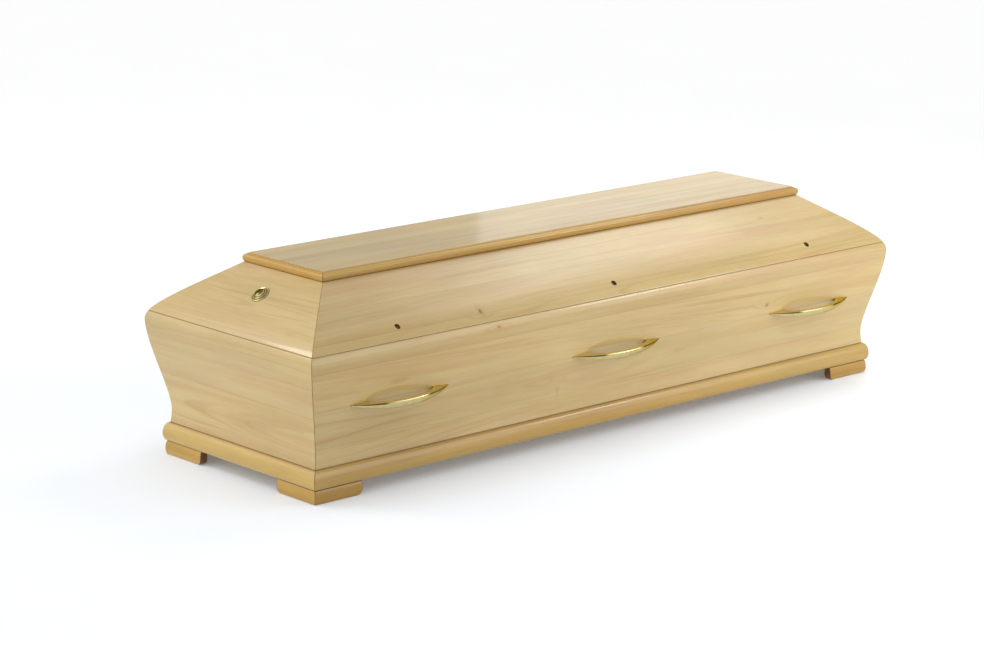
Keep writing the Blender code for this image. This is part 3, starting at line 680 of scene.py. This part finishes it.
def bow_points():
    """Sections of the bow, from tip to tip along its chord.

    The outer face follows a circle's arc, of the chord and the reach. The half height falls towards
    the tips by a power of the share of the way. The inner face lies on the seat at the lands, and
    bows out between them as a superellipse. A section is flat above and below, and its front is a
    crown: its height goes with the sine of the slant, its depth with a low power of the cosine.

    The mark for the brass dims the front, a painted darker reflection, and darkens its upper edge
    towards the tips and the tips themselves, painted dark reflections. It is bright on the arrises.
    """
    half, rise = HANDLE_CHORD / 2, HANDLE_REACH - HANDLE_TIP
    radius = (half**2 + rise**2) / (2 * rise)
    along = -half * np.cos(np.linspace(0.0, math.pi, 121))
    share = np.abs(along) / half
    outer = HANDLE_TIP + np.sqrt(radius**2 - along**2) - (radius - rise)
    tall = HANDLE_TIP + (HANDLE_TALL / 2 - HANDLE_TIP) * (1 - share**HANDLE_TAPER)
    opening = half - HANDLE_LAND
    hollow = np.maximum(1 - (np.abs(along) / opening) ** GAP_FULLNESS, 0.0) ** (1 / GAP_FULLNESS)
    inner = (HANDLE_REACH - HANDLE_BAR) * hollow
    ease = np.minimum(HANDLE_ARRIS, np.minimum(tall, outer - inner) * 0.4)
    around = np.linspace(-math.pi / 2, math.pi / 2, 25)
    corner = np.linspace(0.0, math.pi / 2, 5)
    front = np.stack([(outer - ease)[:, None] + ease[:, None] * np.cos(around) ** FRONT_SQUARENESS,
                      tall[:, None] * np.sin(around)], axis=-1)
    small = 0.4 * ease[:, None]
    upper = np.stack([inner[:, None] + small * (1 - np.sin(corner)),
                      tall[:, None] - small * (1 - np.cos(corner))], axis=-1)
    lower = upper[:, ::-1] * (1, -1)
    section = np.concatenate([front, upper, lower], axis=1)
    x = np.broadcast_to(along[:, None], section.shape[:2])
    slant = np.degrees(around)
    # Painted dark reflection along the front's upper edge towards the tips, and on the front a
    # painted darker reflection
    dark = np.clip(2.2 - np.abs(slant - 55.0) / 18.0, 0.0, 1.0)[None, :]
    to_tip = np.clip((share - 0.30) / 0.16, 0.0, 1.0)[:, None]
    dimmed = np.where(np.abs(slant) < 66.0, DIMMED_LEVEL, 0.0)[None, :]
    front_dark = np.maximum(dimmed, 0.95 * dark * to_tip)
    edge_dark = np.broadcast_to(np.linspace(0.0, 0.25, 5), (len(along), 5))
    patina_and_painted_dark = np.concatenate([front_dark, edge_dark, edge_dark[:, ::-1]], axis=1)
    # Painted dark reflection at the tips themselves
    patina_and_painted_dark = np.maximum(patina_and_painted_dark, np.clip((share - 0.985) / 0.01, 0.0, 1.0)[:, None])
    return np.stack([x, -section[..., 0], section[..., 1]], axis=-1), patina_and_painted_dark


brass = polished_brass("polished brass")
bow, bow_dark = bow_points()
for turn in (0, 2):
    for number, place in enumerate((-1, 0, 1), 1):
        name = f"handle_{SIDES[turn]}_{number}"
        seat = seat_on(wall_face, HANDLE_HEIGHT, HANDLE_TALL / 2, WIDTH / 2, turn,
                       place * (LENGTH / 2 - HANDLE_FROM_END))
        add_piece(name, seated(bow.reshape(-1, 3), seat), loft(bow), {"patina_and_painted_dark": bow_dark.ravel()},
                  brass)

# Lid screws: slotted heads of turned brass, three on each long side, sunk in the holes of the lid
# sides. They alone hold the lid shut.
SCREW_RADIUS, SCREW_SUNK = 0.0063, 0.0028
SCREW_DOME, SCREW_ROUND = 0.0012, 0.0009
SLOT_WIDTH, SLOT_DEPTH = 0.0024, 0.0022


def screw_points():
    """A slotted head as columns side by side: at each distance off the slot the column runs across
    the disc. Its face is domed by the square of the radius, its edge is rounded by the twelfth
    power, and the slot is a step down between two doubled columns. The back is the same disc,
    flat. The mark for the brass is dark in the middle, painted shade for a head sunk in its hole,
    and bright at the edge.
    """
    w, r = SLOT_WIDTH / 2, SCREW_RADIUS
    x = -r * np.cos(np.linspace(0.0, math.pi / 2, 12))
    x = np.concatenate([x[x < -w * 1.15], [-w, -w], [-w * 0.5, 0.0]])
    deep = np.zeros(len(x))
    deep[-3:] = SLOT_DEPTH
    x = np.concatenate([x, -x[-2::-1]])
    deep = np.concatenate([deep, deep[-2::-1]])
    t = np.sin(np.linspace(-math.pi / 2, math.pi / 2, 25))
    z = t[None, :] * np.sqrt(np.maximum(r**2 - x**2, 0.0))[:, None]
    off = np.minimum(np.hypot(x[:, None], z) / r, 1.0)
    face = SCREW_SUNK + SCREW_DOME * off**2 + SCREW_ROUND * off**12 + deep[:, None] * (1 - off**12)
    back_face = np.full_like(z, HOLE_DEPTH - GAP)
    x = np.broadcast_to(x[:, None], z.shape)
    front = np.stack([x, face, z], axis=-1)
    rear = np.stack([x, back_face, z], axis=-1)
    # Painted shade: dark in the middle of the sunk head, bright at its edge
    patina_and_painted_dark = 0.80 - 0.70 * off**8
    return (np.concatenate([front, rear[:, ::-1]], axis=1),
            np.concatenate([patina_and_painted_dark, patina_and_painted_dark[:, ::-1]], axis=1))


screw, screw_dark = screw_points()
screw_faces = [grid_quads(*screw.shape[:2]).reshape(-1, 4)]
for turn in (0, 2):
    for number, (along, _) in enumerate(screw_places, 1):
        name = f"lid_screw_{SIDES[turn]}_{number}"
        seat = seat_on(lid_face, SCREW_HEIGHT, HOLE_RADIUS / 2, WIDTH / 2, turn, along)
        piece = add_piece(name, seated(screw.reshape(-1, 3), seat), screw_faces,
                          {"patina_and_painted_dark": screw_dark.ravel()}, brass, smooth=30.0)
        weld = piece.modifiers.new("weld", "WELD")
        weld.merge_threshold = 0.00002

# Rosettes: turned brass, one in the middle of each lid end, pinned flat on the slope: a flange, a
# stepped collar and a domed boss. Its groove is dark with patina, its boss and some of its rings
# are dark as painted dark reflections, and its edges are bright.
ROSETTE_HEIGHT, ROSETTE_RADIUS = JOINT + 0.0813, 0.0245
BOSS_RADIUS, BOSS_FOOT, BOSS_RISE = 0.0138, 0.0050, 0.0055
# Darkness by radius: the dark boss and rings are painted dark reflections, the groove dark with
# patina
DARK_BY_RADIUS = ((0.0, 0.93), (0.0112, 0.88), (0.0137, 0.20), (0.0142, 0.90), (0.0160, 0.80),
                 (0.0172, 0.00), (0.0188, 0.78), (0.0205, 0.62), (0.0236, 0.12), (0.0245, 0.75))


def spun(profile, steps):
    """The profile of (radius, height) points carried round the outward axis."""
    angle = np.linspace(0.0, 2 * math.pi, steps, endpoint=False)
    radius, height = profile[:, 0][:, None], profile[:, 1][:, None]
    return np.stack([radius * np.cos(angle), -height + 0 * angle, radius * np.sin(angle)], axis=-1)


boss_arc = np.linspace(0.06, math.pi / 2, 16)
boss = np.stack([BOSS_RADIUS * np.sin(boss_arc), BOSS_FOOT + BOSS_RISE * np.cos(boss_arc)], axis=1)
groove = curve([(BOSS_RADIUS, BOSS_FOOT), (BOSS_RADIUS, 0.0036), (0.0148, 0.0036)], 6)
collar = joined(
    curve([(0.0148, 0.0036), (0.0160, 0.0036), (0.0164, 0.0044), (0.0174, 0.0044)], 8),
    curve([(0.0174, 0.0044), (0.0192, 0.0044), (0.0188, 0.0022), (0.0194, 0.0018)], 8))
flange = joined(
    curve([(0.0194, 0.0018), (0.0222, 0.0010), (0.0232, 0.0019)], 6),
    curve([(0.0232, 0.0019), (ROSETTE_RADIUS, 0.0019), (ROSETTE_RADIUS, 0.0006)], 6))
rosette_line = np.vstack([joined(boss, groove, collar, flange),
                          [(ROSETTE_RADIUS, 0.0), (0.0130, 0.0), (0.0010, 0.0)]])
rosette_dark = np.interp(rosette_line[:, 0], *np.transpose(DARK_BY_RADIUS))
disc = spun(rosette_line, 72)
for turn in (1, 3):
    seat = seat_on(lid_line, ROSETTE_HEIGHT, ROSETTE_RADIUS / 2, LENGTH / 2, turn, 0.0)
    add_piece(f"rosette_{SIDES[turn]}", seated(disc.reshape(-1, 3), seat), loft(disc),
              {"patina_and_painted_dark": np.repeat(rosette_dark, disc.shape[1])}, brass)

# Floor and light: a pale floor in a white studio. The floor glows faintly, painted light that lifts
# its shadows. The studio is lighter towards some sides, and soft boxes give the broad gleams on the
# lacquer and the brass.
FLOOR = 60.0
# Near the coffin the floor is cooler and darker, a painted tint that keeps its shadow grey against
# the warm light from the wood; further out it is lighter, so the floor stays evenly white
NEAR_SHADOW_TINT, FAR_TONE = (0.740, 0.775, 0.820, 1.0), (0.885, 0.887, 0.893, 1.0)
GLOW, STUDIO_LIGHT = 0.14, 0.43

floor_mesh = bpy.data.meshes.new("floor")
floor_mesh.from_pydata([(-FLOOR, -FLOOR, 0.0), (FLOOR, -FLOOR, 0.0), (FLOOR, FLOOR, 0.0),
                        (-FLOOR, FLOOR, 0.0)], [], [(0, 1, 2, 3)])
floor = bpy.data.objects.new("floor", floor_mesh)
paint = Maker("floor paint")
spot = paint.add("ShaderNodeTexCoord").outputs["Object"]
from_middle = paint.add("ShaderNodeVectorMath", {0: paint.scaled(spot, (0.6, 1.0, 1.0))},
                        operation="LENGTH").outputs["Value"]
tone = paint.mix(paint.ramp(from_middle, 0.55, 2.5), NEAR_SHADOW_TINT, FAR_TONE)
mottle = paint.ramp(paint.noise(spot, 3.0, 3.0), 0.0, 1.0, 0.985, 1.015)
mottled = paint.add("ShaderNodeCombineColor", {0: mottle, 1: mottle, 2: mottle}).outputs[0]
paint.feed(paint.shader, {"Base Color": paint.mix(1.0, tone, mottled, "MULTIPLY"),
                          "Roughness": 0.9, "Specular IOR Level": 0.1,
                          "Emission Color": (1.0, 1.0, 1.0, 1.0), "Emission Strength": GLOW})
floor_mesh.materials.append(paint.material)
bpy.context.scene.collection.objects.link(floor)

world = bpy.data.worlds.new("studio")
bpy.context.scene.world = world
world.use_nodes = True
studio = world.node_tree
looking = studio.nodes.new("ShaderNodeTexCoord").outputs["Generated"]


def reckon(operation, *values):
    """A step of arithmetic in the studio's light, each value a number or an earlier step."""
    step = studio.nodes.new("ShaderNodeMath")
    step.operation = operation
    for socket, value in zip(step.inputs, values):
        if isinstance(value, bpy.types.NodeSocket):
            studio.links.new(value, socket)
        else:
            socket.default_value = value
    return step.outputs[0]


def wash(direction, strength, power):
    """Light from one side: the strength times a power of the cosine to that direction, and none
    from behind.
    """
    cosine = studio.nodes.new("ShaderNodeVectorMath")
    cosine.operation = "DOT_PRODUCT"
    studio.links.new(looking, cosine.inputs[0])
    cosine.inputs[1].default_value = Vector(direction).normalized()
    in_front = reckon("MAXIMUM", cosine.outputs["Value"], 0.0)
    return reckon("MULTIPLY", reckon("POWER", in_front, power), strength)


studio.nodes["Background"].inputs[0].default_value = (1.0, 1.0, 1.0, 1.0)
brightness = STUDIO_LIGHT
for direction, strength, power in (((-1.0, 0.0, 0.27), 1.35, 3.0), ((0.0, 0.0, 1.0), 0.58, 3.0),
                                   ((0.665, -0.70, 0.25), 0.7, 16.0),
                                   ((-0.50, 0.72, 0.50), 1.4, 16.0)):
    brightness = reckon("ADD", wash(direction, strength, power), brightness)
studio.links.new(brightness, studio.nodes["Background"].inputs[1])


def soft_box(name, place, aim, size, watts):
    """A rectangular area light at a place, turned to its aim."""
    light = bpy.data.lights.new(name, "AREA")
    light.shape = "RECTANGLE"
    light.size, light.size_y = size
    light.energy = watts
    lamp = bpy.data.objects.new(name, light)
    facing = (Vector(aim) - Vector(place)).to_track_quat("-Z", "Y")
    lamp.matrix_world = Matrix.Translation(place) @ facing.to_matrix().to_4x4()
    bpy.context.scene.collection.objects.link(lamp)


# Five nested boxes make one whose gleam on the lid side fades out softly
for share in (0.65, 0.825, 1.0, 1.175, 1.35):
    soft_box("lid box", (1.9, 0.22, 2.45), (0.05, -0.21, 0.45), (1.15 * share, 1.10 * share), 5.1)
soft_box("top panel", (3.25, 1.69, 1.35), (1.93, 0.19, 1.35), (2.9, 1.2), 6.1)
soft_box("side box", (1.3, -1.9, 0.95), (0.0, -0.3, 0.25), (2.0, 1.6), 16.0)
soft_box("moulding box", (1.69, -1.70, 1.44), (0.0, -0.31, 0.07), (0.50, 0.36), 4.4)
soft_box("corner box", (-1.46, 0.53, 1.08), (-1.0, -0.30, 0.38), (0.32, 0.32), 1.9)
